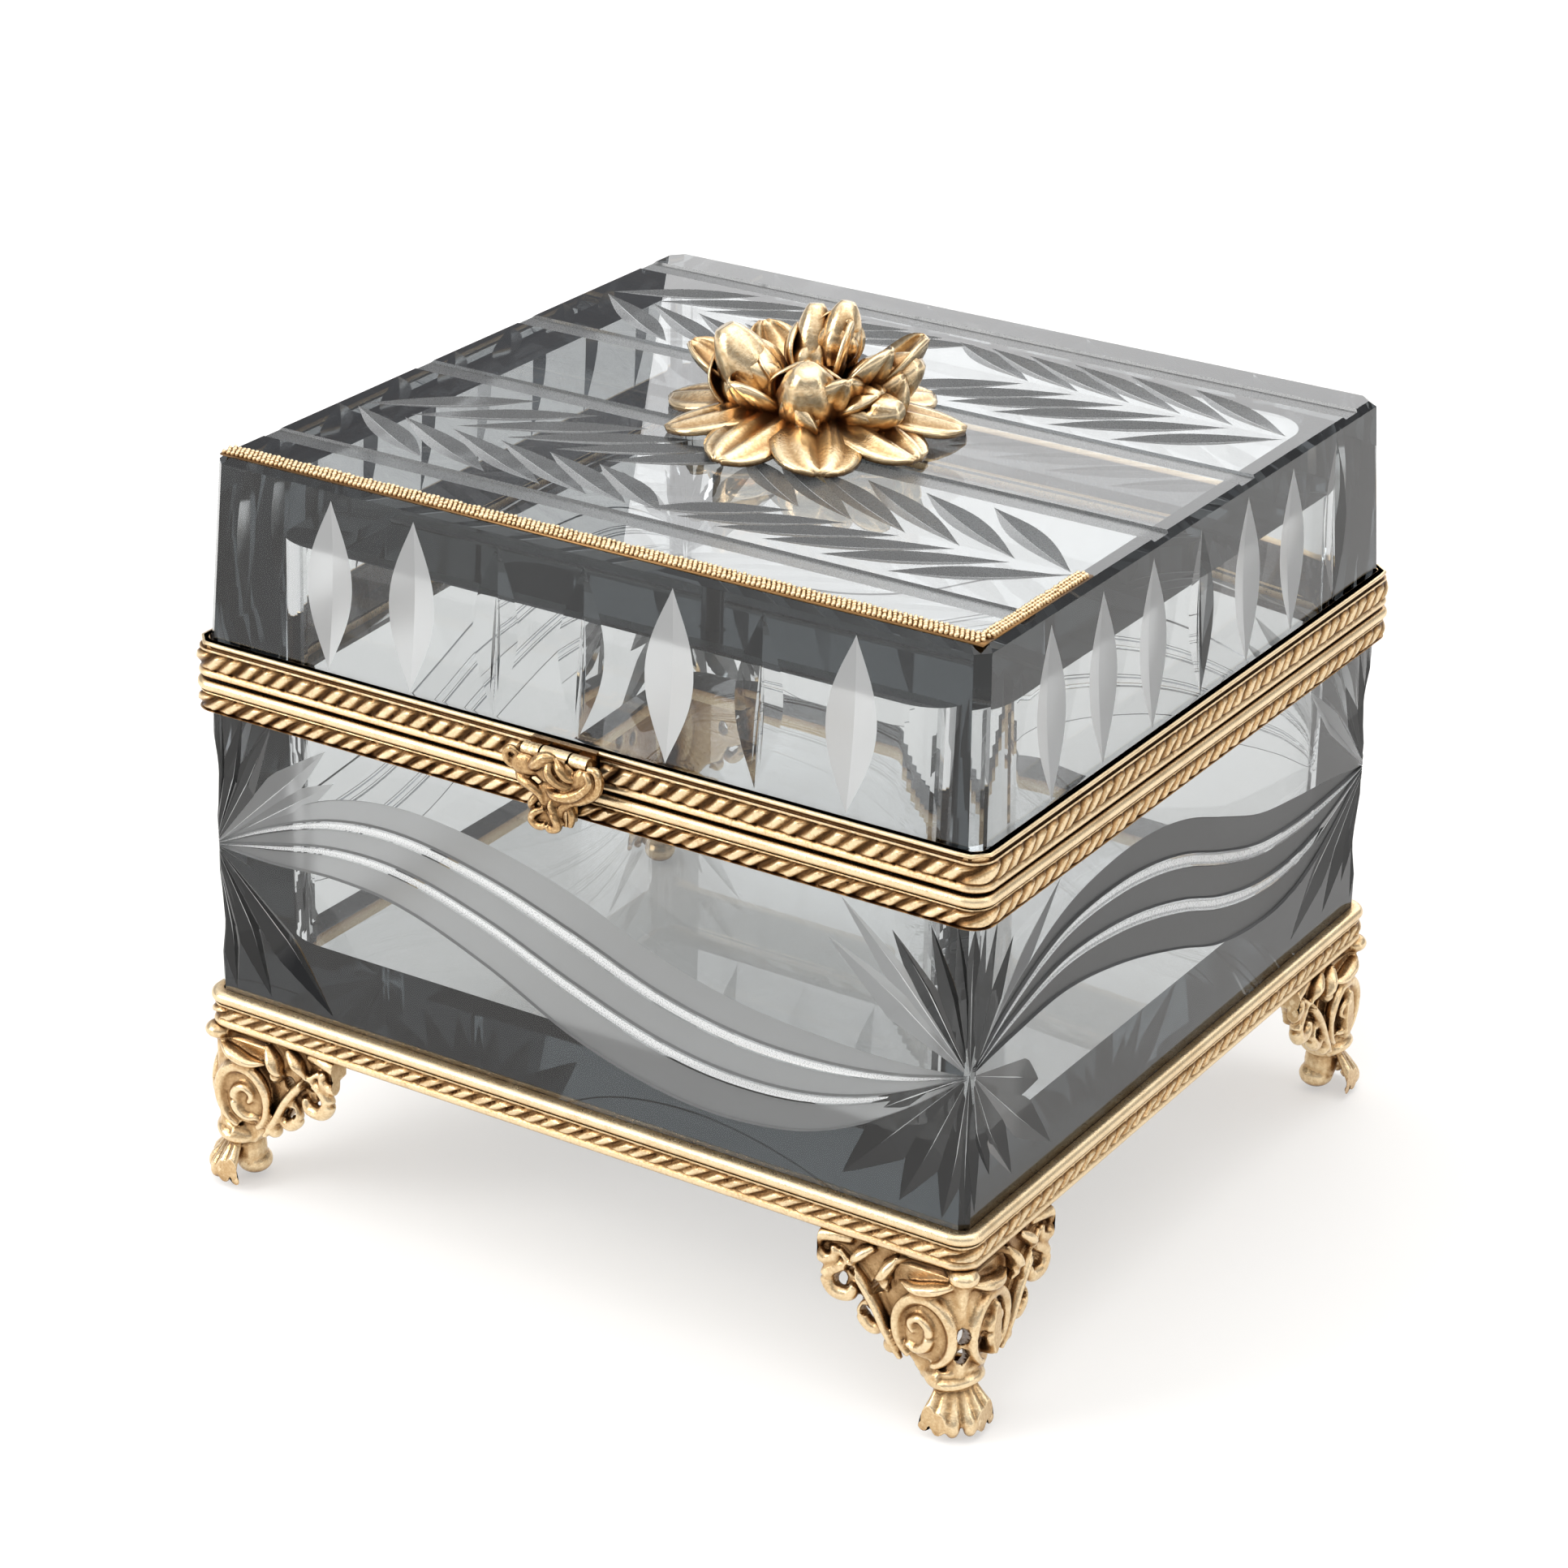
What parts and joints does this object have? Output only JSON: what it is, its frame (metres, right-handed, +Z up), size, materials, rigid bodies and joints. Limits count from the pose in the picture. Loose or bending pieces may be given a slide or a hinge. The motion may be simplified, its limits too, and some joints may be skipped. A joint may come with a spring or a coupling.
{
  "type": "inkwell",
  "caption": "Square cut-crystal inkwell casket on gilt scroll feet, with a hinged lid, a swinging clasp and a flower finial.",
  "frame": {"origin": "under the middle of the casket, at the height of the soles of the feet", "axes": "+Z up, +Y to the back where the hinge is, +X to the right seen from the clasp"},
  "size_m": [0.115, 0.1148, 0.115],
  "materials": {
    "crystal": "polished cut crystal with frosted cuts",
    "gilt": "antique gilt, burnished high parts",
    "gilt_relief": "antique gilt with brown in the recesses",
    "braid": "fine gold bead braid",
    "pin_brass": "worn brass"
  },
  "bodies": {
    "base": {"body_glass": "crystal", "base_frame": "gilt", "base_bead": "gilt", "base_gadroon": "gilt_relief", "foot_front_left": "gilt_relief", "foot_front_right": "gilt_relief", "foot_back_left": "gilt_relief", "foot_back_right": "gilt_relief", "foot_screws": "pin_brass", "body_rim_channel": "gilt", "body_rim_bead": "gilt", "body_rim_gadroon": "gilt_relief", "catch_stud": "pin_brass", "hinge_leaf_body": "gilt", "hinge_pin": "pin_brass"},
    "lid": {"hinge_leaf_lid": "gilt", "lid_glass": "crystal", "lid_rim_channel": "gilt", "lid_rim_fillet": "gilt", "lid_rim_gadroon": "gilt_relief", "lid_braid": "braid", "clasp_bracket": "gilt", "clasp_pin": "pin_brass", "finial_leaves": "gilt_relief", "finial_buds": "gilt_relief", "finial_stud": "pin_brass", "finial_washer": "gilt", "finial_nut": "gilt"},
    "clasp": {"clasp_hasp": "gilt_relief"}
  },
  "joints": [
    {"name": "lid_hinge", "type": "hinge", "parent": "base", "child": "lid", "pos_m": [0, 0.05565, 0.071], "axis": [-1, 0, 0], "range_deg": [0, 100]},
    {"name": "clasp_hinge", "type": "hinge", "parent": "lid", "child": "clasp", "pos_m": [0, -0.05485, 0.0747], "axis": [-1, 0, 0], "range_deg": [0, 90]}
  ]
}
